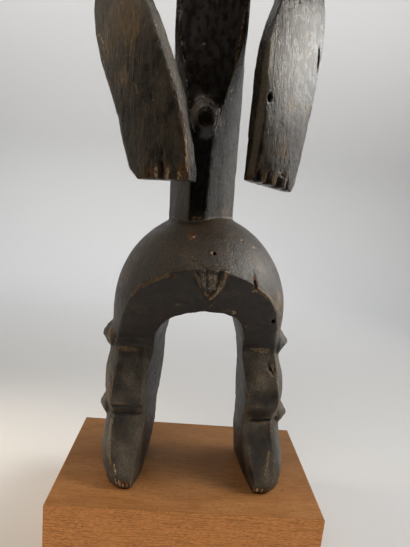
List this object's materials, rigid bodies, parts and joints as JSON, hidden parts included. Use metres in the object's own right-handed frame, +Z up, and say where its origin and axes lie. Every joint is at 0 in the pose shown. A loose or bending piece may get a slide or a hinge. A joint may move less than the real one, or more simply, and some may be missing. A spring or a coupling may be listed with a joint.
{
  "type": "standing wooden figure",
  "caption": "Standing figure carved from one log, with free slab arms, domed hips and zigzag legs, on a rectangular wooden plinth.",
  "frame": {"origin": "middle of the plinth's rectangle on its underside", "axes": "+Z up, the figure faces -Y, +X to the viewer's right"},
  "size_m": [0.3, 0.1808, 0.8957],
  "materials": {
    "dark_wood": "dark oiled hardwood, semi-gloss, worn brown at the edges",
    "plinth_wood": "reddish brown hardwood, satin, open pores"
  },
  "bodies": {
    "root": {"figure": "dark_wood", "plinth": "plinth_wood"}
  },
  "joints": []
}
